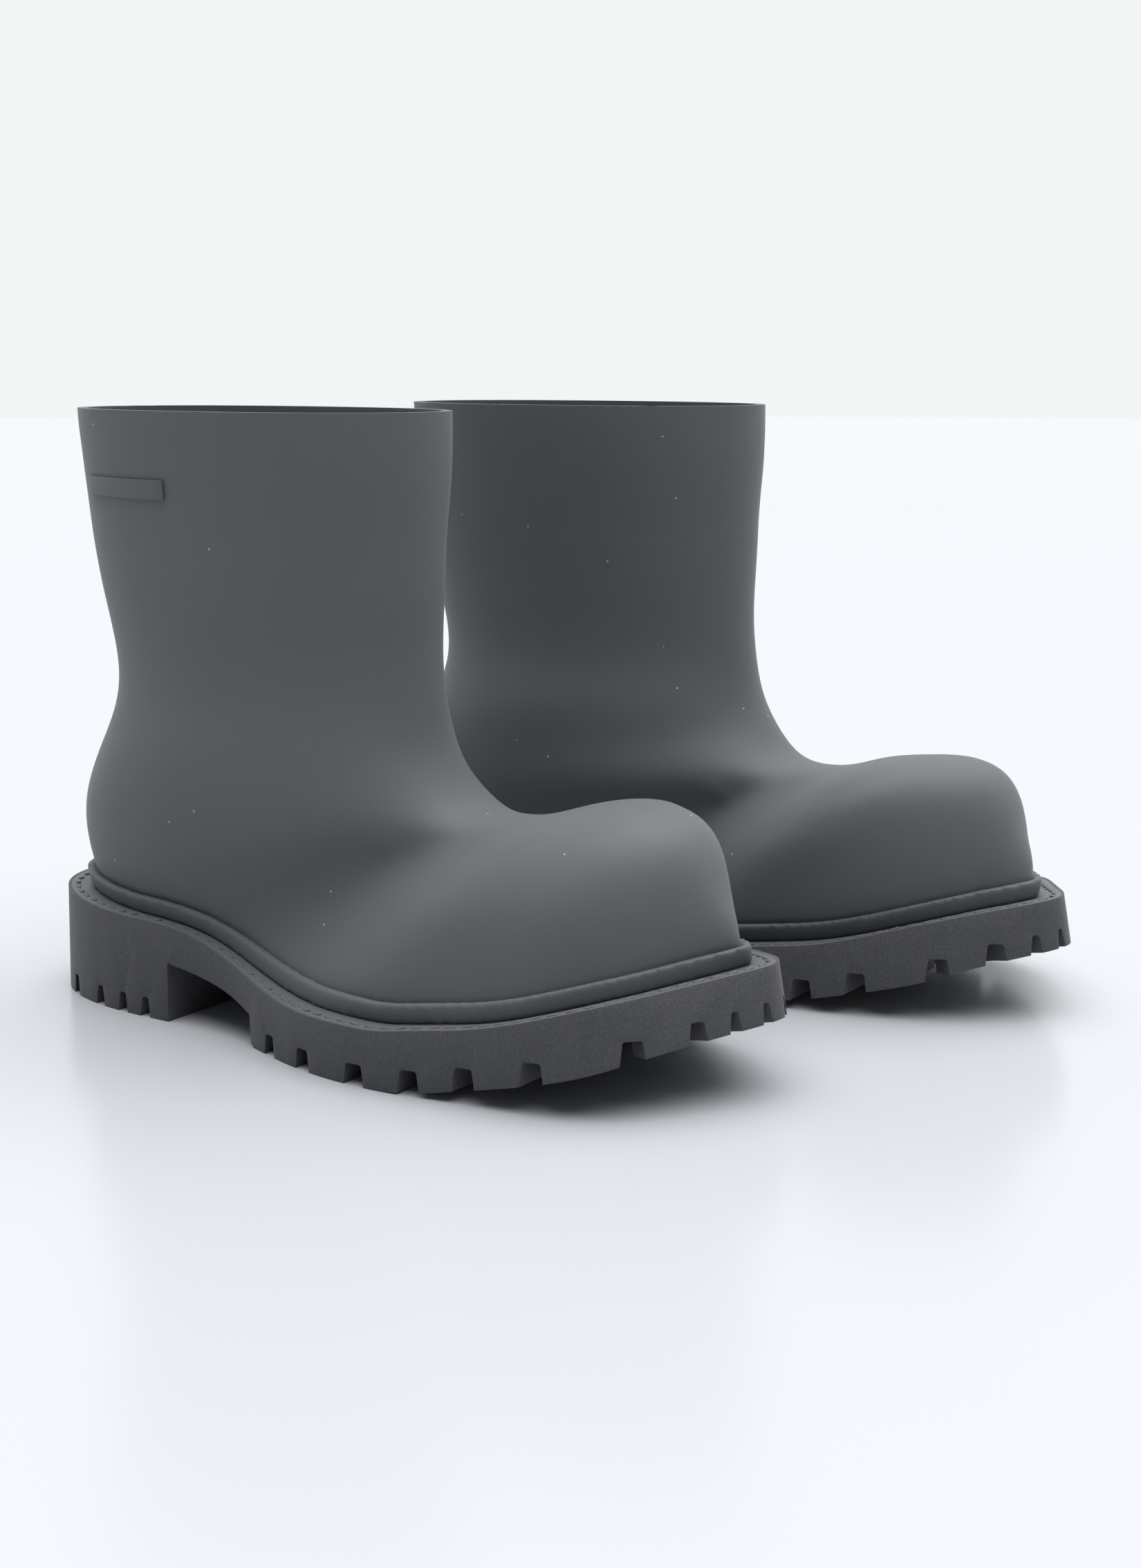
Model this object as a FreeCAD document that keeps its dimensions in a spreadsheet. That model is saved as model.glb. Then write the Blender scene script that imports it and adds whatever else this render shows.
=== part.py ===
"""A pair of chunky moulded deck boots, right and left, in millimetres.

Each boot has a one-piece foam upper, a raised rand round its base, a stitched welt on a lugged unit
sole, tread pads, a midsole with a steel shank, an insole board, a footbed and a small raised badge.
Toes point to -Y and up is +Z. The origin is the middle of the pair, on the floor.
"""
import FreeCAD
import Part
import math
import os
from FreeCAD import Vector

doc = FreeCAD.newDocument("deck_boots")

# ---------------------------------------------------------------- driving dimensions, in mm
DIMENSIONS = (
    ("sole_length", 340.0),
    ("sole_width", 138.0),
    ("shaft_height", 252.0),
    ("upper_wall", 4.0),
    ("heel_seat", 45.5),
    ("ball_seat", 22.5),
    ("toe_seat", 50.0),
    ("toe_spring", 29.0),
    ("arch_height", 24.8),
    ("toe_lean", 10.0),
    ("welt_width", 9.5),
    ("welt_thickness", 2.5),
    ("sole_lip", 1.2),
    ("rand_width", 4.0),
    ("rand_height", 8.0),
    ("lug_depth", 8.5),
    ("lug_ring_width", 21.0),
    ("heel_gap_width", 3.4),
    ("gap_draft", 8.0),
    ("stitch_length", 4.6),
    ("stitch_width", 2.0),
    ("stitch_height", 0.5),
    ("stitch_pitch", 7.0),
    ("midsole_thickness", 7.0),
    ("board_thickness", 2.0),
    ("footbed_thickness", 5.5),
    ("shank_length", 118.0),
    ("shank_width", 18.0),
    ("shank_thickness", 1.6),
    ("badge_length", 54.0),
    ("badge_height", 8.0),
    ("badge_raise", 1.2),
    ("fit_clearance", 0.3),
    ("pair_spacing", 173.0),
    ("pair_stagger", 49.0),
)

sheet = doc.addObject("Spreadsheet::Sheet", "dimensions")
for row, (alias, size) in enumerate(DIMENSIONS, start=1):
    sheet.set("A%d" % row, alias)
    sheet.set("B%d" % row, str(size))
    sheet.setAlias("B%d" % row, alias)
row = len(DIMENSIONS) + 1
sheet.set("A%d" % row, "half_length")
sheet.set("B%d" % row, "=(sole_length + (toe_seat - toe_spring) * tan(toe_lean * 1 deg)) / 2")
sheet.setAlias("B%d" % row, "half_length")
doc.recompute()


def size_of(alias):
    """One driving dimension, as the sheet holds it."""
    return float(sheet.get(alias))


# The last: the form that the boot is drawn round, at the size its stations are written for.
LAST_LENGTH = 340.0
LAST_WIDTH = 138.0
LAST_SHAFT = 252.0
LAST_ANKLE = 155.0
LENGTH_SCALE = size_of("sole_length") / LAST_LENGTH
WIDTH_SCALE = size_of("sole_width") / LAST_WIDTH
HALF_LENGTH = size_of("half_length")
SPLIT_HEIGHT = 60.0
REACH = size_of("sole_width")
OVER = 5.0

# The sole's outline seen from above: distance from the heel, distance across (outer side negative).
SOLE_OUTLINE = (
    (0, 0), (13.5, -33), (46, -47.5), (85, -50), (125, -53), (165, -66), (215, -72), (250, -67.5),
    (284, -62.5), (307, -49.5), (319.5, -33), (332, -12), (340, 8), (327, 26.5), (314, 37), (303.5, 44.5),
    (283.5, 53.5), (250, 63), (214.5, 65.5), (163, 57.5), (125, 45), (85, 45), (46, 46.5), (13.5, 33),
)
LEAN_START = 0.65

# How high the welt's seat runs, as a share of the way between the ball and the heel or the toe.
HEEL_RUN = ((0, 1.0), (30, 0.9), (60, 0.82), (87, 0.765), (103, 0.645), (125, 0.35), (148, 0.10), (170, 0.0))
TOE_RUN = ((198, 0.0), (215, 0.02), (222, 0.058), (254, 0.236), (279, 0.473), (300, 0.691), (315, 0.822),
           (327, 0.909), (340, 1.0), (346, 1.03))
SPRING_RUN = ((215, 0.0), (232, 0.065), (249, 0.172), (279, 0.40), (300, 0.595), (315, 0.775), (327, 0.893),
              (340, 1.0), (346, 1.05))
BREAST = 87.5
TREAD_REAR = 138.0

# Rings round the upper, from the top of the shaft to the toe: where the ring crosses the front or crown,
# where it crosses the back or underside, its half width, how square its upper and lower halves are,
# how far up its widest point lies, how far its underside stands to the inner side and its crown further
# still, and the share of an offset that carries the ring forwards.
SHAFT_RINGS = (
    (188.7, 1.10, 5.1, 50.5, 2.16),
    (189.2, 1.00, 6.8, 50.2, 2.18),
    (188.9, 0.75, 9.9, 48.4, 2.20),
    (187.3, 0.50, 12.3, 46.1, 2.17),
    (186.5, 0.25, 16.4, 44.2, 2.15),
)
FOOT_RINGS = (
    ((185.7, 158.0), (22.8, 154.8), 42.7, 2.13, 2.15, 0.50, 0.3, 0.0, 0.0),
    ((186.8, 138.1), (25.8, 131.1), 43.8, 2.12, 2.15, 0.50, 0.1, 0.0, 0.0),
    ((189.1, 121.2), (18.7, 108.6), 48.0, 2.24, 2.20, 0.48, 0.2, 0.0, 0.0),
    ((195.4, 106.9), (8.3, 82.3), 50.0, 2.41, 2.20, 0.46, 0.3, -0.2, 0.0),
    ((206.9, 95.6), (9.9, 51.0), 48.5, 2.55, 2.05, 0.46, -0.2, 2.4, 0.0),
    ((224.7, 92.9), (39.2, 11.2), 38.0, 2.46, 1.90, 0.44, -5.1, 8.2, 0.0),
    ((241.2, 95.3), (110.0, -0.6), 44.0, 2.36, 2.00, 0.40, -7.8, 13.1, 0.0),
    ((258.0, 100.4), (170.0, -1.0), 56.0, 2.39, 2.30, 0.38, -7.8, 17.1, 0.0),
    ((275.0, 102.9), (222.0, -0.7), 54.5, 2.51, 2.60, 0.40, -7.6, 17.9, 0.05),
    ((290.1, 103.0), (267.9, 1.1), 46.5, 2.61, 2.50, 0.42, -8.3, 13.4, 0.15),
    ((306.1, 97.9), (299.0, 7.5), 32.8, 2.67, 2.40, 0.45, -5.8, 7.7, 0.40),
    ((314.7, 87.0), (308.5, 15.6), 22.1, 2.57, 2.30, 0.50, -1.2, 2.1, 0.65),
    ((319.8, 74.2), (314.2, 24.1), 14.7, 2.40, 2.20, 0.50, 3.3, -1.3, 0.85),
    ((324.4, 64.1), (319.4, 35.0), 7.8, 2.22, 2.10, 0.50, 6.8, -4.1, 0.96),
)
TOE_TIP = (326.4, 49.5, 7.6)
RING_POINTS = 24

# Gaps between the lugs: under the heel, along the sides (outer side, inner side, width), and fanned round
# the toe about one centre (bearing to the outer side, width).
HEEL_GAPS = (26.5, 46.0, 61.0, 75.3)
SIDE_GAPS = ((153.0, 152.0, 5.0), (175.5, 174.0, 6.0), (202.5, 199.0, 7.5), (227.8, 224.0, 7.0),
             (251.6, 248.5, 7.2), (279.4, 270.8, 7.0))
TOE_GAPS = ((43.6, 7.5), (22.4, 5.5), (9.4, 2.6), (0.0, 2.2), (-8.1, 1.8), (-16.1, 2.6), (-27.9, 6.2),
            (-49.4, 7.5))
TOE_FAN_CENTRE = 262.0
GAP_CORNER = 1.2


def spot(along, across, height):
    """A point of the right boot from its distance to the heel, distance across and height."""
    return Vector(across, HALF_LENGTH - along, height)


def closed_curve(points):
    """A smooth closed wire through the points."""
    curve = Part.BSplineCurve()
    curve.interpolate(Points=points, PeriodicFlag=True)
    return Part.Wire([curve.toShape()])


def open_curve(points):
    """A smooth edge through the points."""
    curve = Part.BSplineCurve()
    curve.interpolate(Points=points)
    return curve.toShape()


# ---------------------------------------------------------------- levels along the boot
def seat_points(rise=0.0):
    """Points of the welt's seat in the boot's middle plane, from behind the heel to past the toe."""
    ball = size_of("ball_seat")
    heel = size_of("heel_seat") - ball
    toe = size_of("toe_seat") - ball
    points = [(-OVER, heel * 1.02)]
    points += [(along, heel * share) for along, share in HEEL_RUN]
    points += [(along, toe * share) for along, share in TOE_RUN]
    return [spot(along * LENGTH_SCALE, -REACH, ball + height + rise) for along, height in points]


def band(low, high):
    """A slab as wide as the boot whose underside and top follow the seat at two heights."""
    under = seat_points(low)
    over = seat_points(high)
    edges = [
        open_curve(under),
        Part.LineSegment(under[-1], over[-1]).toShape(),
        open_curve(over),
        Part.LineSegment(over[0], under[0]).toShape(),
    ]
    face = Part.Face(Part.Wire(Part.__sortEdges__(edges)))
    return face.extrude(Vector(2 * REACH, 0, 0))


def sole_side():
    """The unit sole seen from the side: heel, breast, arch, tread and toe spring under the seat."""
    scale = LENGTH_SCALE
    arch = size_of("arch_height")
    spring = size_of("toe_spring")
    start = -OVER
    top = seat_points()

    def low(along, height):
        return spot(along * scale, -REACH, height)

    arch_line = [low(BREAST, arch), low(107, 0.88 * arch), low(125, 0.71 * arch), low(TREAD_REAR, 0.52 * arch)]
    spring_line = [low(along, spring * share) for along, share in SPRING_RUN]
    heel_bottom = [low(start, 0), low(BREAST, 0), arch_line[0]]
    tread_bottom = [arch_line[-1], low(TREAD_REAR + 1, 0.05 * arch), low(TREAD_REAR + 10, 0), spring_line[0]]
    edges = [Part.LineSegment(a, b).toShape() for a, b in zip(heel_bottom, heel_bottom[1:])]
    edges.append(open_curve(arch_line))
    edges += [Part.LineSegment(a, b).toShape() for a, b in zip(tread_bottom, tread_bottom[1:])]
    edges.append(open_curve(spring_line))
    edges.append(Part.LineSegment(spring_line[-1], top[-1]).toShape())
    edges.append(open_curve(top))
    edges.append(Part.LineSegment(top[0], low(start, 0)).toShape())
    face = Part.Face(Part.Wire(Part.__sortEdges__(edges)))
    return face.extrude(Vector(2 * REACH, 0, 0))


# ---------------------------------------------------------------- plan outlines
def outline_points(inset=0.0, shift=0.0):
    """The sole's outline drawn in by an inset, its front moved back by a share of shift."""
    points = [(along * LENGTH_SCALE, across * WIDTH_SCALE) for along, across in SOLE_OUTLINE]
    count = len(points)
    moved = []
    for index, (along, across) in enumerate(points):
        before = points[index - 1]
        after = points[(index + 1) % count]
        run = (after[0] - before[0], after[1] - before[1])
        length = math.hypot(*run)
        inward = (-run[1] / length, run[0] / length)
        lean = min(max((along / size_of("sole_length") - LEAN_START) / (1 - LEAN_START), 0), 1)
        moved.append((along + inset * inward[0] - shift * lean, across + inset * inward[1]))
    return moved


def lean_at(height):
    """How far the toe's front stands back from the seat's edge at a height."""
    return (height - size_of("toe_seat")) * math.tan(math.radians(size_of("toe_lean")))


def outline_wire(height, inset=0.0, shift=0.0):
    """The sole's outline as a closed wire at one height."""
    return closed_curve([spot(along, across, height) for along, across in outline_points(inset, shift)])


def leaning_block(inset=0.0):
    """A tall block on the sole's outline, whose front leans back as the toe springs up."""
    wires = [outline_wire(height, inset, lean_at(height)) for height in (-OVER, SPLIT_HEIGHT + OVER)]
    return Part.makeLoft(wires, True, True)


# ---------------------------------------------------------------- the upper's form
def ring_points(front, back, half_width, squareness, widest, middle, tilt, offset, forward=0.0):
    """Points of one closed ring in the plane through its front and back points, grown by an offset."""
    front = spot(front[0] + offset * forward, middle + tilt, front[1])
    back = spot(back[0] + offset * forward, middle, back[1])
    offset *= math.sqrt(1 - forward ** 2)
    run = front - back
    length = run.Length
    run.normalize()
    centre = back + run * (length * widest)
    points = []
    for index in range(RING_POINTS):
        turn = 2 * math.pi * index / RING_POINTS
        rise = math.cos(turn)
        side = math.sin(turn)
        square = squareness[0] if rise > 0 else squareness[1]
        reach = length * (1 - widest if rise > 0 else widest) + offset
        rise = math.copysign(abs(rise) ** (2 / square), rise) * reach
        side = math.copysign(abs(side) ** (2 / square), side) * (half_width + offset)
        points.append(centre + run * rise + Vector(side, 0, 0))
    return points


def upper_rings(offset):
    """All rings from above the shaft's top to the toe, at the present sizes."""
    shaft = size_of("shaft_height") - LAST_ANKLE
    rings = []
    for front, share, back, half, square in SHAFT_RINGS:
        height = LAST_ANKLE + shaft * share
        ends = ((front * LENGTH_SCALE, height), (back * LENGTH_SCALE, height))
        rings.append(ring_points(*ends, half * WIDTH_SCALE, (square, square), 0.5, 0.0, 0.0, offset))
    for front, back, half, upper, lower, widest, middle, tilt, forward in FOOT_RINGS:
        ends = ((front[0] * LENGTH_SCALE, front[1]), (back[0] * LENGTH_SCALE, back[1]))
        across = (middle * WIDTH_SCALE, tilt * WIDTH_SCALE)
        rings.append(ring_points(*ends, half * WIDTH_SCALE, (upper, lower), widest, *across, offset, forward))
    return rings


def upper_form(offset):
    """The solid form of shaft, foot and toe, grown or shrunk by an offset, closed to a point at the toe."""
    rings = upper_rings(offset)
    tip = spot(TOE_TIP[0] * LENGTH_SCALE + offset, TOE_TIP[2] * WIDTH_SCALE, TOE_TIP[1])
    turns = [index / RING_POINTS for index in range(RING_POINTS + 1)]
    poles = []
    for points in rings:
        ring = Part.BSplineCurve()
        ring.interpolate(Points=points, PeriodicFlag=True, Parameters=turns)
        poles.append(ring.getPoles())
    rings.append([tip] * RING_POINTS)
    poles.append([tip] * len(poles[0]))
    travel = [0.0]
    for one, other in zip(rings, rings[1:]):
        gap = sum((a - b).Length for a, b in zip(one, other)) / RING_POINTS
        travel.append(travel[-1] + math.sqrt(gap))
    net = []
    for column in zip(*poles):
        rib = Part.BSplineCurve()
        rib.interpolate(Points=list(column), Parameters=travel)
        net.append(rib.getPoles())
    skin = Part.BSplineSurface()
    skin.buildFromPolesMultsKnots(net, ring.getMultiplicities(), rib.getMultiplicities(),
                                  ring.getKnots(), rib.getKnots(), True, False, ring.Degree, rib.Degree)
    face = skin.toShape()
    mouth = [edge for edge in face.Edges if edge.isClosed() and not edge.Degenerated]
    shell = Part.Shell([face, Part.Face(Part.Wire(mouth[:1]))])
    shell.sewShape()
    return Part.Solid(shell)


# ---------------------------------------------------------------- cutters
def spring_at(along):
    """The height of the sole's underside at a distance from the heel, on the last."""
    runs = [(0.0, 0.0)] + list(SPRING_RUN)
    for (start, low), (end, high) in zip(runs, runs[1:]):
        if start <= along <= end:
            return size_of("toe_spring") * (low + (high - low) * (along - start) / (end - start))
    return size_of("toe_spring")


def tread_band(low, high):
    """A slab that follows the sole's underside, between two heights above it."""
    stations = [(-OVER, 0.0), (TREAD_REAR, 0.0)] + list(SPRING_RUN)

    def line(rise):
        return [spot(along * LENGTH_SCALE, -REACH, size_of("toe_spring") * share + rise)
                for along, share in stations]

    edges = []
    for points in (line(low), line(high)):
        edges.append(Part.LineSegment(points[0], points[1]).toShape())
        edges.append(Part.LineSegment(points[1], points[2]).toShape())
        edges.append(open_curve(points[2:]))
    edges.append(Part.LineSegment(line(low)[0], line(high)[0]).toShape())
    edges.append(Part.LineSegment(line(low)[-1], line(high)[-1]).toShape())
    face = Part.Face(Part.Wire(Part.__sortEdges__(edges)))
    return face.extrude(Vector(2 * REACH, 0, 0))


def span(start, end):
    """A block across the boot between two distances from the heel, on the last."""
    near = start * LENGTH_SCALE
    far = end * LENGTH_SCALE
    corner = Vector(-REACH, HALF_LENGTH - far, -OVER)
    return Part.makeBox(2 * REACH, far - near, 2 * SPLIT_HEIGHT, corner)


def rim_spots(inset, count=480):
    """Evenly spaced points round the sole's edge, drawn in by an inset."""
    return outline_wire(0, inset).discretize(Number=count)


def gap_cutter(width, place, bearing, height):
    """One gap between two lugs: drafted walls, rounded roof, cut from the edge towards the middle."""
    depth = size_of("lug_depth")
    slope = math.tan(math.radians(size_of("gap_draft")))
    half = width / 2
    wide = half + (depth + OVER) * slope
    reach = size_of("lug_ring_width") + OVER
    corners = [Vector(-wide, 0, -OVER), Vector(-half, 0, depth), Vector(half, 0, depth), Vector(wide, 0, -OVER)]
    face = Part.Face(Part.makePolygon(corners + corners[:1]))
    prism = face.extrude(Vector(0, reach, 0))
    roof = [edge for edge in prism.Edges if abs(edge.BoundBox.YLength - reach) < 0.01
            and edge.BoundBox.ZMin > depth - 0.01]
    prism = prism.makeFillet(min(GAP_CORNER, half * 0.9), roof)
    prism.translate(Vector(0, -OVER, 0))
    prism.rotate(Vector(0, 0, 0), Vector(0, 0, 1), bearing)
    prism.translate(Vector(place.x, place.y, height))
    return prism


def lug_gaps():
    """Every gap between the lugs, down both sides and round the toe."""
    edge = rim_spots(0)
    gaps = []
    heel_gaps = [(along, along, size_of("heel_gap_width")) for along in HEEL_GAPS]
    for outer, inner, width in heel_gaps + list(SIDE_GAPS):
        for along, bearing, outward in ((outer, -90, -1), (inner, 90, 1)):
            row = HALF_LENGTH - along * LENGTH_SCALE
            sided = [point for point in edge if point.x * outward > 0]
            place = min(sided, key=lambda point: abs(point.y - row))
            gaps.append(gap_cutter(width, place, bearing, spring_at(along)))
    centre = spot(TOE_FAN_CENTRE * LENGTH_SCALE, 0, 0)
    for bearing, width in TOE_GAPS:
        turn = math.radians(bearing)
        ray = Vector(-math.sin(turn), -math.cos(turn), 0)
        place = max(edge, key=lambda point: (point - centre).normalize().dot(ray))
        along = (HALF_LENGTH - place.y) / LENGTH_SCALE
        gaps.append(gap_cutter(width, place, -bearing, spring_at(along)))
    return Part.makeCompound(gaps)


# ---------------------------------------------------------------- document helpers
def freeform(name, shape):
    """An object that holds a computed shape."""
    thing = doc.addObject("Part::Feature", name)
    thing.Shape = shape
    return thing


def joined(kind, name, base, tool):
    """A boolean of two objects: kind is Cut, Common or Fuse."""
    thing = doc.addObject("Part::" + kind, name)
    thing.Base = base
    thing.Tool = tool
    return thing


def bound_box(name, expressions):
    """A box whose sizes and place are bound to the sheet."""
    box = doc.addObject("Part::Box", name)
    for target, expression in expressions.items():
        box.setExpression(target, expression)
    return box


wall = size_of("upper_wall")
clearance = size_of("fit_clearance")
board = size_of("board_thickness")
bed = size_of("footbed_thickness")
TALL = 2 * size_of("shaft_height")
HEEL_RECESS = (20.0, 72.0)
HEEL_RING_LESS = 2.0
HEEL_COLUMNS = (-12.0, 12.0)
TREAD_RECESS = (160.0, 318.0)
TREAD_COLUMNS = (-22.0, 0.0, 22.0)
PAD_WEB = 2.5
BED_RIM = 7.0
BED_DISH = 1.5
SHANK_START = 55.0
BADGE_MIDDLE = 61.0
BADGE_DROP = 32.0
STITCH_ROW = 0.32
LUG_SIZE = 13.0
LUG_STEP = 22.0


def upper_shell():
    """The moulded upper: one wall of foam from the seat to the rim, open at the top and underneath."""
    outer = freeform("upper_outside", upper_form(0))
    inner = freeform("upper_inside", upper_form(-wall))
    hollow = joined("Cut", "upper_wall_form", outer, inner)
    above = freeform("above_seat", band(0, TALL))
    standing = joined("Common", "upper_on_seat", hollow, above)
    below_rim = bound_box("below_rim", {
        "Length": "4 * dimensions.sole_width",
        "Width": "2 * dimensions.sole_length",
        "Height": "dimensions.shaft_height",
        "Placement.Base.x": "-2 * dimensions.sole_width",
        "Placement.Base.y": "-dimensions.sole_length",
    })
    return joined("Common", "upper_shell", standing, below_rim)


def rand():
    """The raised band round the upper's base, standing on the welt."""
    width = size_of("rand_width")
    ring = freeform("rand_ring", upper_form(width).common(band(0, size_of("rand_height"))))
    core = freeform("rand_core", upper_form(0))
    return joined("Cut", "rand", ring, core)


def welt_slab():
    """The welt's full slab, flush with the seat inside the sole's lip."""
    return leaning_block(size_of("sole_lip")).common(band(-size_of("welt_thickness"), 0))


def midsole_well():
    """The foam core's bed in the sole, under the upper's hollow."""
    return upper_form(-wall - clearance).common(band(-size_of("midsole_thickness"), OVER))


def welt():
    """The flat ring round the sole's top that carries the stitches, open over the foam core."""
    return joined("Cut", "welt", freeform("welt_slab", welt_slab()), freeform("welt_middle", midsole_well()))


def welt_stitches():
    """Short stitches in one row round the welt, standing a little proud of it."""
    length = size_of("stitch_length")
    width = size_of("stitch_width")
    inset = size_of("sole_lip") + size_of("welt_width") * STITCH_ROW
    line = outline_wire(0, inset, lean_at(size_of("toe_seat")))
    count = int(line.Length / size_of("stitch_pitch"))
    spots = line.discretize(Number=count + 1)[:-1]
    posts = []
    for index, place in enumerate(spots):
        run = spots[(index + 1) % count] - spots[index - 1]
        post = Part.makeBox(length - width, width, SPLIT_HEIGHT, Vector(-(length - width) / 2, -width / 2, 0))
        ends = [Part.makeCylinder(width / 2, SPLIT_HEIGHT, Vector(side * (length - width) / 2, 0, 0))
                for side in (-1, 1)]
        post = post.multiFuse(ends).removeSplitter()
        post.rotate(Vector(0, 0, 0), Vector(0, 0, 1), math.degrees(math.atan2(run.y, run.x)))
        post.translate(place)
        posts.append(post)
    row = freeform("stitch_posts", Part.makeCompound(posts))
    level = freeform("stitch_level", band(0, size_of("stitch_height")))
    return joined("Common", "welt_stitches", row, level)


def recess(inset, limits, depth):
    """A shallow hollow in the sole's underside, inside the ring of lugs."""
    return leaning_block(inset).common(span(*limits)).common(tread_band(-OVER, depth))


def outsole():
    """The one-piece unit sole: side wall, heel, arch and the ring of lugs."""
    block = freeform("sole_block", leaning_block())
    side = freeform("sole_side", sole_side())
    body = joined("Common", "sole_body", block, side)
    depth = size_of("lug_depth")
    ring = size_of("lug_ring_width")
    bedded = joined("Cut", "sole_bedded", body, freeform("welt_bed", welt_slab()))
    hollows = Part.makeCompound([midsole_well(), recess(ring, TREAD_RECESS, depth),
                                 recess(ring - HEEL_RING_LESS, HEEL_RECESS, depth)])
    hollowed = joined("Cut", "sole_hollowed", bedded, freeform("sole_hollows", hollows))
    return joined("Cut", "outsole", hollowed, freeform("lug_gaps", lug_gaps()))


def pad(name, inset, limits, columns):
    """A rubber insert in a recess: a thin web with square lugs that reach down as far as the sole's own."""
    depth = size_of("lug_depth")
    room = recess(inset + clearance, limits, depth)
    web = room.common(tread_band(depth - PAD_WEB, depth))
    lugs = []
    start = limits[0] + LUG_STEP * 0.5
    rows = int((limits[1] - limits[0]) / LUG_STEP)
    for row in range(rows):
        along = (start + row * LUG_STEP) * LENGTH_SCALE
        for column in columns:
            corner = spot(along + LUG_SIZE / 2, column * WIDTH_SCALE - LUG_SIZE / 2, -OVER)
            lugs.append(Part.makeBox(LUG_SIZE, LUG_SIZE, 2 * SPLIT_HEIGHT, corner))
    studs = room.common(Part.makeCompound(lugs)).common(tread_band(0, depth))
    return freeform(name, web.fuse(studs).removeSplitter())


def shank():
    """The spring-steel strip under the arch, let into the top of the midsole."""
    strip = bound_box("shank_plan", {
        "Length": "dimensions.shank_width",
        "Width": "dimensions.shank_length",
        "Height": "dimensions.heel_seat + dimensions.toe_seat",
        "Placement.Base.x": "-dimensions.shank_width / 2",
        "Placement.Base.y": "dimensions.half_length - dimensions.shank_length - %g" % SHANK_START,
    })
    level = freeform("shank_level", band(-size_of("shank_thickness"), 0))
    return joined("Common", "shank", strip, level)


def midsole(shank_object):
    """The foam core between the sole and the insole board, with a groove for the shank."""
    core = upper_form(-wall - 2 * clearance).common(band(-size_of("midsole_thickness"), 0))
    return joined("Cut", "midsole", freeform("midsole_core", core), shank_object)


def insole_board():
    """The fibre board that closes the upper's underside."""
    level = band(0, board)
    return freeform("insole_board", upper_form(-wall - clearance).common(level))


def footbed():
    """The foam footbed on the board, with a raised rim round its edge."""
    blank = upper_form(-wall - 3 * clearance).common(band(board, board + bed))
    dish = upper_form(-wall - BED_RIM).common(band(board + bed - BED_DISH, board + 2 * bed))
    return joined("Cut", "footbed", freeform("footbed_blank", blank), freeform("footbed_dish", dish))


def shaft_badge():
    """A plain raised bar on the outer side of the shaft, near the rim."""
    bar = bound_box("badge_plan", {
        "Length": "2 * dimensions.sole_width",
        "Width": "dimensions.badge_length",
        "Height": "dimensions.badge_height",
        "Placement.Base.x": "-2 * dimensions.sole_width",
        "Placement.Base.y": "dimensions.half_length - dimensions.badge_length / 2 - %g" % BADGE_MIDDLE,
        "Placement.Base.z": "dimensions.shaft_height - dimensions.badge_height / 2 - %g" % BADGE_DROP,
    })
    skin = upper_form(size_of("badge_raise")).cut(upper_form(0))
    return joined("Common", "shaft_badge", bar, freeform("badge_skin", skin))


# ---------------------------------------------------------------- the pair
def boot_pieces():
    """Every sub-part of one boot, drawn about its own middle."""
    ring = size_of("lug_ring_width")
    steel = shank()
    return {
        "upper_shell": upper_shell(),
        "rand": rand(),
        "welt": welt(),
        "welt_stitches": welt_stitches(),
        "outsole": outsole(),
        "tread_pad": pad("tread_pad", ring, TREAD_RECESS, TREAD_COLUMNS),
        "heel_pad": pad("heel_pad", ring - HEEL_RING_LESS, HEEL_RECESS, HEEL_COLUMNS),
        "shank": steel,
        "midsole": midsole(steel),
        "insole_board": insole_board(),
        "footbed": footbed(),
        "shaft_badge": shaft_badge(),
    }


def stand_pair(pieces):
    """The right boot where it stands, and its mirror image further forward, each piece labelled."""
    standing = []
    for name, source in pieces.items():
        right = doc.addObject("Part::Compound", "right_" + name)
        right.Links = [source]
        left = doc.addObject("Part::Mirroring", "left_" + name)
        left.Source = source
        left.Normal = Vector(1, 0, 0)
        for boot, side in ((right, -1), (left, 1)):
            boot.Label = boot.Name
            boot.setExpression("Placement.Base.x", "%d * dimensions.pair_spacing / 2" % side)
            boot.setExpression("Placement.Base.y", "%d * dimensions.pair_stagger / 2" % -side)
            standing.append(boot)
    return standing


pair = stand_pair(boot_pieces())
doc.recompute()

for thing in doc.Objects:
    if "Invalid" in thing.State or "Error" in thing.State:
        raise RuntimeError("%s did not build: %s" % (thing.Label, thing.State))
for thing in pair:
    if thing.Shape.isNull() or not thing.Shape.isValid() or not thing.Shape.Solids:
        raise RuntimeError("%s has no sound solid" % thing.Label)

os.makedirs("parts", exist_ok=True)
for thing in pair:
    thing.Shape.exportStep("parts/%s.step" % thing.Label)
    print(thing.Label, len(thing.Shape.Solids), "solids", round(thing.Shape.Volume), "mm3")
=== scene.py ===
# %% [markdown]
# # A pair of deck boots
#
# Two tall moulded foam boots: a smooth upper with a big round toe, a raised rand round its foot, a
# flat welt with moulded stitches, and a thick sole cut into lugs. The solid model is already made,
# so this lesson dresses it. Soft parts are modelled again as finer meshes, right where the solid
# model has them, and every surface gets a finish made of shader nodes. All lengths are in metres.

import math

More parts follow.
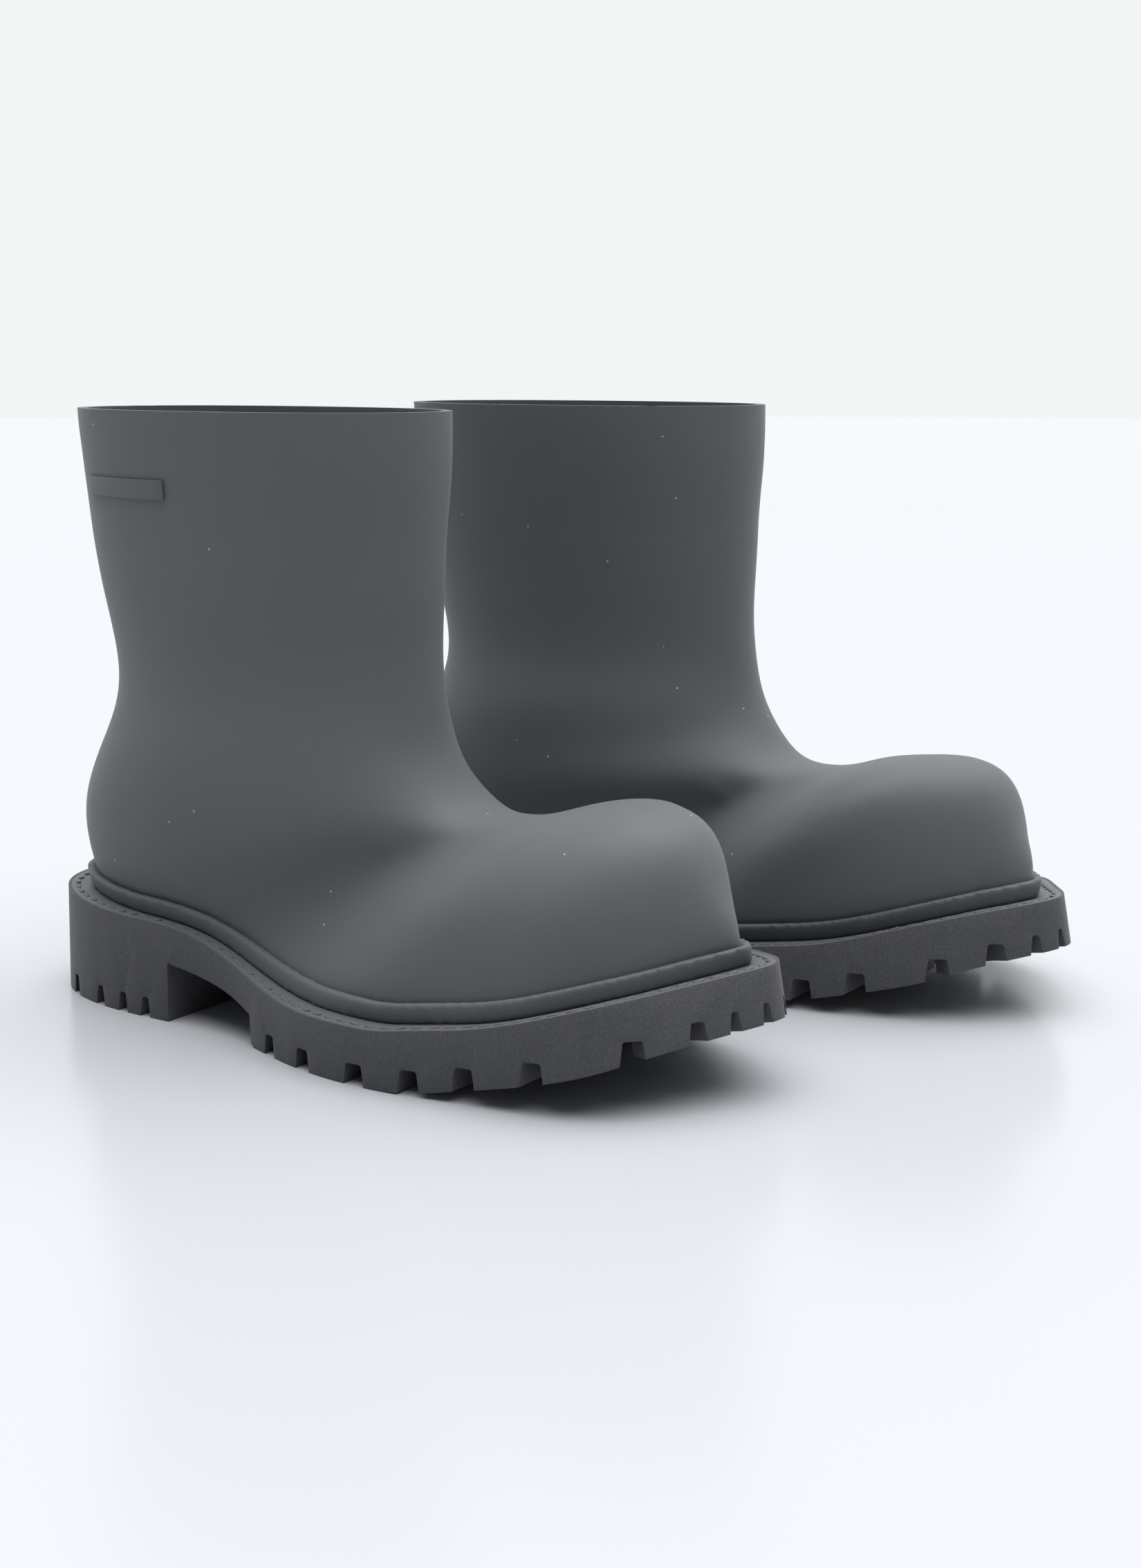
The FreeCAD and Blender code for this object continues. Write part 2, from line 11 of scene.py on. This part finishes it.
import bpy
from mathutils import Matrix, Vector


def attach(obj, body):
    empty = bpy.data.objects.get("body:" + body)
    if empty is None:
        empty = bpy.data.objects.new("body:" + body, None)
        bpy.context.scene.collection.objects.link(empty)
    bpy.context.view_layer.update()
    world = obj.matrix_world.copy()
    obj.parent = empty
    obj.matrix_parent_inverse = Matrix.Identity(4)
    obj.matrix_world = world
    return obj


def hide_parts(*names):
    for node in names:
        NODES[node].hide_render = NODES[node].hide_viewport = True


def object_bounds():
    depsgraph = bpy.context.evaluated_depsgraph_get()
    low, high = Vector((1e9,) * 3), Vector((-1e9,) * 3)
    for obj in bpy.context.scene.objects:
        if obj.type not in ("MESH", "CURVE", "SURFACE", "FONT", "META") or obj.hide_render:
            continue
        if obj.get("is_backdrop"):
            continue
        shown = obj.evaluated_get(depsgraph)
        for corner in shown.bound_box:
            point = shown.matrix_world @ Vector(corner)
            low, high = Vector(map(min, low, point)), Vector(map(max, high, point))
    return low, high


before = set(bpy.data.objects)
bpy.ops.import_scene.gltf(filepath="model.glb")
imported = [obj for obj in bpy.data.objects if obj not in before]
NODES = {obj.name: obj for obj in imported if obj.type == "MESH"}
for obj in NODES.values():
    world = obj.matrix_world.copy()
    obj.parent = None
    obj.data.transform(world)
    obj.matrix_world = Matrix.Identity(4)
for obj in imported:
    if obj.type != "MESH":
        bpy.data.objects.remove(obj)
cad_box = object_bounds()
FLOOR_Z = 0.0
print("the CAD box is", [round(v, 4) for v in (*cad_box[0], *cad_box[1])])

# %% [markdown]
# ## Camera
#
# A level camera with its lens shifted down keeps the shafts upright, but a large shift would push
# the boots out of every other view. So most of the drop comes from tilting the camera six degrees,
# and only the rest from the shift.

# %% Camera
CAMERA_PLACE = (-0.8092, -0.5353, 0.2752)
CAMERA_YAW = 0.981
CAMERA_PITCH = math.radians(6.0)
CAMERA_LENS = 52.22
CAMERA_SHIFT = (0.0080, -0.1224)

bpy.ops.object.camera_add(
    location=CAMERA_PLACE, rotation=(math.pi / 2 - CAMERA_PITCH, 0, -CAMERA_YAW)
)
camera = bpy.context.object
camera.name = "boot_camera"
camera.data.sensor_width = 36.0
camera.data.lens = CAMERA_LENS
camera.data.shift_x, camera.data.shift_y = CAMERA_SHIFT
camera.data.clip_start = 0.01
camera.data.clip_end = 50.0
bpy.context.scene.camera = camera
bpy.context.view_layer.update()
print("the camera looks down", round(math.degrees(CAMERA_PITCH), 1), "degrees")

# %% [markdown]
# ## Light and floor
#
# The boots stand on a pale, slightly glossy studio floor. Most of the light comes from straight
# above, through something as large as a ceiling softbox: a sun lamp with a very wide disc gives the
# same even light everywhere on the floor, where an area lamp would fade towards the horizon. The
# sky behind the boots is white and the side behind the camera is dimmer, which leaves the upright
# walls about half as bright as the top of the toe. That contrast is what shows the round form.

# %% Light and floor
SKY_BEHIND = 0.91
SKY_BESIDE_CAMERA = 0.22
SKY_COLOUR = (0.985, 0.995, 1.0, 1.0)
SKY_FADE = (-0.3, 0.55)
CEILING_POWER = 4.45
CEILING_WIDTH = math.radians(78)
CEILING_TILT = (0.10, 0.04, 0.0)
CEILING_COLOUR = (1.0, 0.995, 0.99)
FLOOR_RADIUS = 9.0

bpy.context.scene.view_settings.view_transform = "Standard"

world = bpy.data.worlds.new("studio")
bpy.context.scene.world = world
world.use_nodes = True
sky = world.node_tree
around = sky.nodes.new("ShaderNodeTexCoord")
ahead = sky.nodes.new("ShaderNodeVectorMath")
ahead.operation = "DOT_PRODUCT"
ahead.inputs[1].default_value = (math.sin(CAMERA_YAW), math.cos(CAMERA_YAW), 0.0)
fade = sky.nodes.new("ShaderNodeMapRange")
fade.interpolation_type = "SMOOTHSTEP"
fade.inputs["From Min"].default_value = SKY_FADE[0]
fade.inputs["From Max"].default_value = SKY_FADE[1]
fade.inputs["To Min"].default_value = SKY_BESIDE_CAMERA
fade.inputs["To Max"].default_value = SKY_BEHIND
sky.links.new(around.outputs["Generated"], ahead.inputs[0])
sky.links.new(ahead.outputs["Value"], fade.inputs["Value"])
sky.links.new(fade.outputs["Result"], sky.nodes["Background"].inputs["Strength"])
sky.nodes["Background"].inputs["Color"].default_value = SKY_COLOUR

bpy.ops.object.light_add(type="SUN", location=(0.1, 0.1, 2.0), rotation=CEILING_TILT)
ceiling = bpy.context.object
ceiling.name = "ceiling_softbox"
ceiling.data.energy = CEILING_POWER
ceiling.data.angle = CEILING_WIDTH
ceiling.data.color = CEILING_COLOUR

bpy.ops.mesh.primitive_circle_add(
    vertices=96, radius=FLOOR_RADIUS, fill_type="NGON", location=(0, 0, FLOOR_Z)
)
floor = bpy.context.object
floor.name = "studio_floor"
floor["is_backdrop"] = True
print("lit by", ceiling.name, "over", floor.name)

# %% [markdown]
# ## Shared shader effects
#
# Foam comes out of its mould with three marks on its skin. A fine sandy grain covers it, its tone
# drifts a little over a few centimetres, and dust leaves rare pale specks. Each effect is a node
# group that reads object coordinates and gives only a value or a normal, so a material can mix
# them in any amount.

# %% Shared shader effects
GRAIN_HEIGHT = 0.0004
SPECK_RADIUS = 0.10


def socket(group, name, kind, way, value=None):
    """One socket on a group's outside."""
    item = group.interface.new_socket(name=name, in_out=way, socket_type=kind)
    if value is not None:
        item.default_value = value
    return item


def noise_tone(group, detail, cells, contrast):
    """A group's noise on object coordinates, and a tone about one that follows it."""
    socket(group, "Cells", "NodeSocketFloat", "INPUT", cells)
    socket(group, "Contrast", "NodeSocketFloat", "INPUT", contrast)
    socket(group, "Tone", "NodeSocketFloat", "OUTPUT")
    nodes, links = group.nodes, group.links
    inside = nodes.new("NodeGroupInput")
    outside = nodes.new("NodeGroupOutput")
    place = nodes.new("ShaderNodeTexCoord")
    noise = nodes.new("ShaderNodeTexNoise")
    noise.inputs["Detail"].default_value = detail
    centred = nodes.new("ShaderNodeMath")
    centred.operation = "SUBTRACT"
    centred.inputs[1].default_value = 0.5
    tone = nodes.new("ShaderNodeMath")
    tone.operation = "MULTIPLY_ADD"
    tone.inputs[2].default_value = 1.0
    links.new(place.outputs["Object"], noise.inputs["Vector"])
    links.new(inside.outputs["Cells"], noise.inputs["Scale"])
    links.new(noise.outputs["Fac"], centred.inputs[0])
    links.new(centred.outputs["Value"], tone.inputs[0])
    links.new(inside.outputs["Contrast"], tone.inputs[1])
    links.new(tone.outputs["Value"], outside.inputs["Tone"])
    return inside, noise, outside


def grain_group():
    """Sandy grain: a tone value about one and a bumped normal."""
    group = bpy.data.node_groups.new("foam_grain", "ShaderNodeTree")
    inside, noise, outside = noise_tone(group, 2.0, 1500.0, 0.2)
    socket(group, "Depth", "NodeSocketFloat", "INPUT", 0.2)
    socket(group, "Normal", "NodeSocketVector", "OUTPUT")
    noise.inputs["Roughness"].default_value = 0.65
    bump = group.nodes.new("ShaderNodeBump")
    bump.inputs["Distance"].default_value = GRAIN_HEIGHT
    group.links.new(noise.outputs["Fac"], bump.inputs["Height"])
    group.links.new(inside.outputs["Depth"], bump.inputs["Strength"])
    group.links.new(bump.outputs["Normal"], outside.inputs["Normal"])
    return group


def drift_group():
    """Slow drift of tone over a few centimetres, about one."""
    group = bpy.data.node_groups.new("tone_drift", "ShaderNodeTree")
    noise_tone(group, 3.0, 14.0, 0.12)
    return group


def speck_group():
    """A mask of rare small specks."""
    group = bpy.data.node_groups.new("dust_specks", "ShaderNodeTree")
    socket(group, "Cells", "NodeSocketFloat", "INPUT", 220.0)
    socket(group, "Share", "NodeSocketFloat", "INPUT", 0.06)
    socket(group, "Mask", "NodeSocketFloat", "OUTPUT")
    nodes, links = group.nodes, group.links
    inside = nodes.new("NodeGroupInput")
    outside = nodes.new("NodeGroupOutput")
    place = nodes.new("ShaderNodeTexCoord")
    cells = nodes.new("ShaderNodeTexVoronoi")
    near = nodes.new("ShaderNodeMath")
    near.operation = "LESS_THAN"
    near.inputs[1].default_value = SPECK_RADIUS
    picked = nodes.new("ShaderNodeSeparateColor")
    rare = nodes.new("ShaderNodeMath")
    rare.operation = "LESS_THAN"
    both = nodes.new("ShaderNodeMath")
    both.operation = "MULTIPLY"
    links.new(place.outputs["Object"], cells.inputs["Vector"])
    links.new(inside.outputs["Cells"], cells.inputs["Scale"])
    links.new(cells.outputs["Distance"], near.inputs[0])
    links.new(cells.outputs["Color"], picked.inputs["Color"])
    links.new(picked.outputs["Red"], rare.inputs[0])
    links.new(inside.outputs["Share"], rare.inputs[1])
    links.new(near.outputs["Value"], both.inputs[0])
    links.new(rare.outputs["Value"], both.inputs[1])
    links.new(both.outputs["Value"], outside.inputs["Mask"])
    return group


GRAIN = grain_group()
DRIFT = drift_group()
SPECKS = speck_group()
print("groups:", GRAIN.name, DRIFT.name, SPECKS.name)

# %% [markdown]
# ## Foam, rubber and the rest
#
# The whole boot is one foam, but its skin differs by place: the upper is finest, the sole's wall is
# darker and sandier, and the welt's flat ledge is smooth and pale. So one function makes all the
# foams from a colour, a grain size and a roughness. A little sheen stands for the powdery skin of
# moulded foam, which turns paler where it is seen at a low angle.

# %% Foam, rubber and the rest
DUST_COLOUR = (0.42, 0.43, 0.44, 1.0)
FOAM_GLOSS = 0.35
POWDER_ROUGHNESS = 0.45


def foam(name, colour, cells, contrast, depth, roughness, sheen=0.12, specks=0.0, drift=0.14):
    """A moulded foam skin."""
    material = bpy.data.materials.new(name)
    material.use_nodes = True
    nodes, links = material.node_tree.nodes, material.node_tree.links
    skin = nodes["Principled BSDF"]
    grain = nodes.new("ShaderNodeGroup")
    grain.node_tree = GRAIN
    grain.inputs["Cells"].default_value = cells
    grain.inputs["Contrast"].default_value = contrast
    grain.inputs["Depth"].default_value = depth
    slow = nodes.new("ShaderNodeGroup")
    slow.node_tree = DRIFT
    slow.inputs["Contrast"].default_value = drift
    tone = nodes.new("ShaderNodeMath")
    tone.operation = "MULTIPLY"
    tinted = nodes.new("ShaderNodeVectorMath")
    tinted.operation = "SCALE"
    tinted.inputs[0].default_value = colour
    dusted = nodes.new("ShaderNodeMix")
    dusted.data_type = "RGBA"
    dusted.inputs["B"].default_value = DUST_COLOUR
    dust = nodes.new("ShaderNodeGroup")
    dust.node_tree = SPECKS
    dust.inputs["Share"].default_value = specks
    links.new(grain.outputs["Tone"], tone.inputs[0])
    links.new(slow.outputs["Tone"], tone.inputs[1])
    links.new(tone.outputs["Value"], tinted.inputs["Scale"])
    links.new(tinted.outputs["Vector"], dusted.inputs["A"])
    links.new(dust.outputs["Mask"], dusted.inputs["Factor"])
    links.new(dusted.outputs["Result"], skin.inputs["Base Color"])
    links.new(grain.outputs["Normal"], skin.inputs["Normal"])
    skin.inputs["Roughness"].default_value = roughness
    skin.inputs["Specular IOR Level"].default_value = FOAM_GLOSS
    skin.inputs["Sheen Weight"].default_value = sheen
    skin.inputs["Sheen Roughness"].default_value = POWDER_ROUGHNESS
    return material


UPPER_FOAM = foam("upper_foam", (0.100, 0.104, 0.113), 1900.0, 0.16, 0.14, 0.62, specks=0.035)
RAND_FOAM = foam("rand_foam", (0.096, 0.100, 0.109), 1700.0, 0.18, 0.14, 0.60)
LEDGE_FOAM = foam("ledge_foam", (0.098, 0.104, 0.114), 1700.0, 0.12, 0.10, 0.52)
STITCH_FOAM = foam("stitch_foam", (0.092, 0.097, 0.106), 1700.0, 0.12, 0.10, 0.55)
SOLE_FOAM = foam("sole_foam", (0.066, 0.067, 0.074), 1150.0, 1.1, 0.45, 0.70, drift=0.10)
TREAD_RUBBER = foam("tread_rubber", (0.030, 0.031, 0.034), 900.0, 0.20, 0.20, 0.55, sheen=0.0)
CORE_FOAM = foam("core_foam", (0.30, 0.31, 0.32), 700.0, 0.35, 0.40, 0.85)
BOARD_FIBRE = foam("board_fibre", (0.36, 0.31, 0.24), 420.0, 0.50, 0.30, 0.90)
KNIT_LINING = foam("knit_lining", (0.055, 0.057, 0.062), 520.0, 0.60, 0.50, 0.95, sheen=0.35)
BADGE_FOAM = foam("badge_foam", (0.090, 0.094, 0.103), 1900.0, 0.14, 0.12, 0.55)

STEEL = bpy.data.materials.new("shank_steel")
STEEL.use_nodes = True
steel_grain = STEEL.node_tree.nodes.new("ShaderNodeGroup")
steel_grain.node_tree = GRAIN
steel_grain.inputs["Depth"].default_value = 0.08
steel_skin = STEEL.node_tree.nodes["Principled BSDF"]
steel_skin.inputs["Base Color"].default_value = (0.52, 0.53, 0.55, 1.0)
steel_skin.inputs["Metallic"].default_value = 1.0
steel_skin.inputs["Roughness"].default_value = 0.34
STEEL.node_tree.links.new(steel_grain.outputs["Normal"], steel_skin.inputs["Normal"])

FLOOR_GLOSS = bpy.data.materials.new("floor_gloss")
FLOOR_GLOSS.use_nodes = True
floor_skin = FLOOR_GLOSS.node_tree.nodes["Principled BSDF"]
floor_skin.inputs["Base Color"].default_value = (0.485, 0.502, 0.535, 1.0)
floor_skin.inputs["Roughness"].default_value = 0.22
floor_skin.inputs["Specular IOR Level"].default_value = FOAM_GLOSS
floor.data.materials.append(FLOOR_GLOSS)
print(len(bpy.data.materials), "finishes")

# %% [markdown]
# ## Helpers for modelling
#
# Every remodelled piece starts as a fresh object cast from the solid's mesh, so it lies exactly
# where the solid does. Its corners are merged, because a solid's faces come as separate patches.

# %% Helpers for modelling
MERGE_DISTANCE = 0.00001


def only(piece):
    """Selects one piece alone and makes it active."""
    bpy.ops.object.select_all(action="DESELECT")
    piece.select_set(True)
    bpy.context.view_layer.objects.active = piece


def cast(node, name):
    """A new object from a solid's mesh, its patches merged into one skin."""
    piece = bpy.data.objects.new(name, NODES[node].data.copy())
    bpy.context.collection.objects.link(piece)
    only(piece)
    bpy.ops.mesh.customdata_custom_splitnormals_clear()
    bpy.ops.object.mode_set(mode="EDIT")
    bpy.ops.mesh.select_all(action="SELECT")
    bpy.ops.mesh.remove_doubles(threshold=MERGE_DISTANCE)
    bpy.ops.mesh.normals_make_consistent(inside=False)
    bpy.ops.object.mode_set(mode="OBJECT")
    piece.data.materials.clear()
    return piece


def press(piece, kind, name, **settings):
    """Adds one modifier, sets it and applies it."""
    only(piece)
    modifier = piece.modifiers.new(name, kind)
    for setting, value in settings.items():
        setattr(modifier, setting, value)
    bpy.ops.object.modifier_apply(modifier=modifier.name)


def wear(piece, material, body, slot, *nodes):
    """Gives a piece its finish and the body it moves with, and hides the solids it stands for."""
    piece.data.materials.append(material)
    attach(piece, body)
    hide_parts(*nodes)


BOOTS = ("right_boot", "left_boot")
SIDES = {"right_boot": "right_", "left_boot": "left_"}
print("two boots:", *BOOTS)

# %% [markdown]
# ## The uppers
#
# A moulded upper is one wall of foam, softly rounded everywhere except at the rim, where a knife
# has trimmed it flat. A remesh gives the even small quads that soft foam needs, but it would round
# the rim too. So the walls are first drawn up past the rim, remeshed and smoothed, and then cut off
# flat at the true height, and the two loops of the cut are bridged. The lining side of the instep is
# pressed in a little first, so that the crease doesn't wear through. A faint wave of a few tenths of
# a millimetre keeps the skin from looking machined.

# %% The uppers
RIM_HEIGHT = 0.252
RIM_REACH = 0.008
SKIN_CELL = 0.0023
WAVE_HEIGHT = 0.0005
INSTEP_ROW = {"right_boot": -0.029, "left_boot": -0.078}
INSTEP_LEVELS = (0.070, 0.125)
INSTEP_SPREAD = 0.034
INSTEP_THICKENING = 0.0032

skin_wave = bpy.data.textures.new("skin_wave", "CLOUDS")
skin_wave.noise_scale = 0.055


def thicken_instep(upper, body):
    """Presses the lining side of the instep inwards, where the solid's wall is thinnest."""
    middle = INSTEP_ROW[body]
    shifts = []
    for corner in upper.data.vertices:
        lining = corner.normal.z < -0.15 and INSTEP_LEVELS[0] < corner.co.z < INSTEP_LEVELS[1]
        near = math.exp(-((corner.co.y - middle) / INSTEP_SPREAD) ** 4)
        shifts.append(corner.normal * (INSTEP_THICKENING * near if lining else 0.0))
    for corner, shift in zip(upper.data.vertices, shifts):
        corner.co += shift


def mould_upper(body):
    """One boot's upper, remeshed and trimmed flat at the rim."""
    side = SIDES[body]
    upper = cast(side + "upper_shell", side + "moulded_upper")
    thicken_instep(upper, body)
    for corner in upper.data.vertices:
        if corner.co.z > RIM_HEIGHT - 0.0002:
            corner.co.z += RIM_REACH
    press(upper, "REMESH", "skin", mode="VOXEL", voxel_size=SKIN_CELL, use_smooth_shade=True)
    press(upper, "SMOOTH", "soften", factor=0.5, iterations=6)
    press(
        upper, "DISPLACE", "wave",
        texture=skin_wave, texture_coords="LOCAL", strength=WAVE_HEIGHT, mid_level=0.5
    )
    only(upper)
    bpy.ops.object.mode_set(mode="EDIT")
    bpy.ops.mesh.select_all(action="SELECT")
    bpy.ops.mesh.bisect(
        plane_co=(0, 0, RIM_HEIGHT), plane_no=(0, 0, 1),
        clear_outer=True, clear_inner=False, use_fill=False
    )
    bpy.ops.mesh.select_mode(type="EDGE")
    bpy.ops.mesh.select_all(action="DESELECT")
    bpy.ops.mesh.select_non_manifold()
    bpy.ops.mesh.bridge_edge_loops()
    bpy.ops.mesh.select_all(action="SELECT")
    bpy.ops.mesh.normals_make_consistent(inside=False)
    bpy.ops.object.mode_set(mode="OBJECT")
    bpy.ops.object.shade_smooth_by_angle(angle=math.radians(45))
    wear(upper, UPPER_FOAM, body, "upper_foam", side + "upper_shell")
    return upper


uppers = [mould_upper(body) for body in BOOTS]
for upper in uppers:
    print(upper.name, len(upper.data.polygons), "faces")

# %% [markdown]
# ## The rands
#
# The rand is the raised band where the upper meets the sole. Its shoulder is round and soft and its
# foot is pressed into the ledge, so a fine remesh with many smoothing steps gives both.

# %% The rands
RAND_CELL = 0.0009


def mould_rand(body):
    """One boot's rand, with a rounded shoulder."""
    side = SIDES[body]
    rand = cast(side + "rand", side + "soft_rand")
    press(rand, "REMESH", "skin", mode="VOXEL", voxel_size=RAND_CELL, use_smooth_shade=True)
    press(rand, "SMOOTH", "soften", factor=0.5, iterations=14)
    wear(rand, RAND_FOAM, body, "upper_foam", side + "rand")
    return rand


rands = [mould_rand(body) for body in BOOTS]
for rand in rands:
    print(rand.name, len(rand.data.polygons), "faces")

# %% [markdown]
# ## The soles, welts and badges
#
# The sole's edges are crisp, because the mould is cut in metal, but never sharp: a small bevel
# catches the light along the ledge and round each lug. Faces that lie flat are dissolved first, so
# that the bevel follows only real edges.

# %% The soles, welts and badges
FLAT_WITHIN = math.radians(1.0)
EDGE_OVER = math.radians(38)
SMOOTH_UNDER = math.radians(30)


def edged(body, part, name, width, material, slot):
    """A hard moulded part with its edges broken by a small bevel."""
    side = SIDES[body]
    piece = cast(side + part, side + name)
    press(piece, "DECIMATE", "flats", decimate_type="DISSOLVE", angle_limit=FLAT_WITHIN)
    press(
        piece, "BEVEL", "edges", width=width, segments=2, limit_method="ANGLE",
        angle_limit=EDGE_OVER, harden_normals=False, use_clamp_overlap=True, miter_outer="MITER_ARC"
    )
    only(piece)
    bpy.ops.object.shade_smooth_by_angle(angle=SMOOTH_UNDER)
    wear(piece, material, body, slot, side + part)
    return piece


HARD_PARTS = (
    ("outsole", "lugged_sole", 0.0005, SOLE_FOAM, "sole_foam"),
    ("welt", "flat_ledge", 0.0003, LEDGE_FOAM, "welt_foam"),
    ("shaft_badge", "raised_bar", 0.0004, BADGE_FOAM, "upper_foam"),
    ("tread_pad", "tread_lugs", 0.0004, TREAD_RUBBER, "tread_rubber"),
    ("heel_pad", "heel_lugs", 0.0004, TREAD_RUBBER, "tread_rubber"),
)
hard = [edged(body, *part) for body in BOOTS for part in HARD_PARTS]
for piece in hard:
    print(piece.name, len(piece.data.polygons), "faces")

# %% [markdown]
# ## The stitches
#
# The stitches are moulded with the ledge: short round pills, one every seven millimetres. Each one
# is the same pill of a few dozen faces, set down on one of the solid's stitches and turned along
# the edge. The row is one object on each boot.

# %% The stitches
import bmesh
from mathutils import Matrix, Vector


STITCH_SIZE = (0.0046, 0.0020, 0.0005)
STITCH_SINK = 0.00015
SCRAP_LENGTH = 0.003
STITCH_STEPS = 12
STITCH_PROFILE = ((1.0, -0.4), (1.0, 0.35), (0.82, 0.8), (0.45, 1.0))


def islands(mesh):
    """The separate pieces of a mesh, as lists of points."""
    work = bmesh.new()
    work.from_mesh(mesh)
    bmesh.ops.remove_doubles(work, verts=work.verts, dist=MERGE_DISTANCE)
    seen = set()
    groups = []
    for first in work.verts:
        if first in seen:
            continue
        seen.add(first)
        queue = [first]
        points = []
        while queue:
            corner = queue.pop()
            points.append(corner.co.copy())
            for edge in corner.link_edges:
                other = edge.other_vert(corner)
                if other not in seen:
                    seen.add(other)
                    queue.append(other)
        groups.append(points)
    work.free()
    return groups


def pill(length, width, height):
    """One stitch: a stadium, domed on top."""
    work = bmesh.new()
    rings = []
    for share, rise in STITCH_PROFILE:
        ring = []
        for index in range(STITCH_STEPS):
            turn = 2 * math.pi * (index + 0.5) / STITCH_STEPS
            run = (length - width) / 2 * (1 if math.cos(turn) > 0 else -1)
            along = run + math.cos(turn) * width / 2 * share
            across = math.sin(turn) * width / 2 * share
            ring.append(work.verts.new((along, across, rise * height)))
        rings.append(ring)
    for lower, upper in zip(rings, rings[1:]):
        for index in range(STITCH_STEPS):
            after = (index + 1) % STITCH_STEPS
            work.faces.new((lower[index], lower[after], upper[after], upper[index]))
    work.faces.new(rings[0][::-1])
    work.faces.new(rings[-1])
    return work


def stitch_row(body):
    """All the stitches of one boot."""
    side = SIDES[body]
    source = NODES[side + "welt_stitches"]
    row = bmesh.new()
    count = 0
    for points in islands(source.data):
        centre = sum(points, Vector()) / len(points)
        far = max(points, key=lambda point: (point - centre).xy.length)
        other = max(points, key=lambda point: (point - far).length)
        along = (far - other).normalized()
        if (far - other).length < SCRAP_LENGTH:
            continue
        across = Vector((0, 0, 1)).cross(along).normalized()
        up = along.cross(across).normalized()
        turn = Matrix((along, across, up)).transposed().to_4x4()
        turn.translation = centre - up * STITCH_SINK
        one = pill(*STITCH_SIZE)
        one.transform(turn)
        mesh = bpy.data.meshes.new("stitch_step")
        one.to_mesh(mesh)
        one.free()
        row.from_mesh(mesh)
        bpy.data.meshes.remove(mesh)
        count += 1
    mesh = bpy.data.meshes.new(side + "stitch_row")
    bmesh.ops.recalc_face_normals(row, faces=row.faces)
    row.to_mesh(mesh)
    row.free()
    piece = bpy.data.objects.new(side + "stitch_row", mesh)
    bpy.context.collection.objects.link(piece)
    only(piece)
    bpy.ops.object.shade_smooth_by_angle(angle=math.radians(60))
    wear(piece, STITCH_FOAM, body, "stitch_relief", side + "welt_stitches")
    print(piece.name, count, "stitches")


for body in BOOTS:
    stitch_row(body)

# %% [markdown]
# ## What lies inside
#
# The footbed shows only from above, as dark knitted cloth, and the board, the core and the steel
# shank are closed in. They keep the solid's own shape and only take a finish.

# %% What lies inside
INSIDE = {
    "footbed": KNIT_LINING,
    "insole_board": BOARD_FIBRE,
    "midsole": CORE_FOAM,
    "shank": STEEL,
}
for side in SIDES.values():
    for part, material in INSIDE.items():
        node = NODES[side + part]
        node.data.materials.clear()
        node.data.materials.append(material)
print("finished", len(INSIDE) * 2, "inside parts")

# %% [markdown]
# ## The two boxes
#
# Both boxes, the solid model's and the finished object's, are printed side by side. The finished
# object must stay inside the solid model's box.

# %% The two boxes
shown_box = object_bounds()
for name, corners in (("solid", cad_box), ("shown", shown_box)):
    print(name, [round(value, 4) for corner in corners for value in corner])
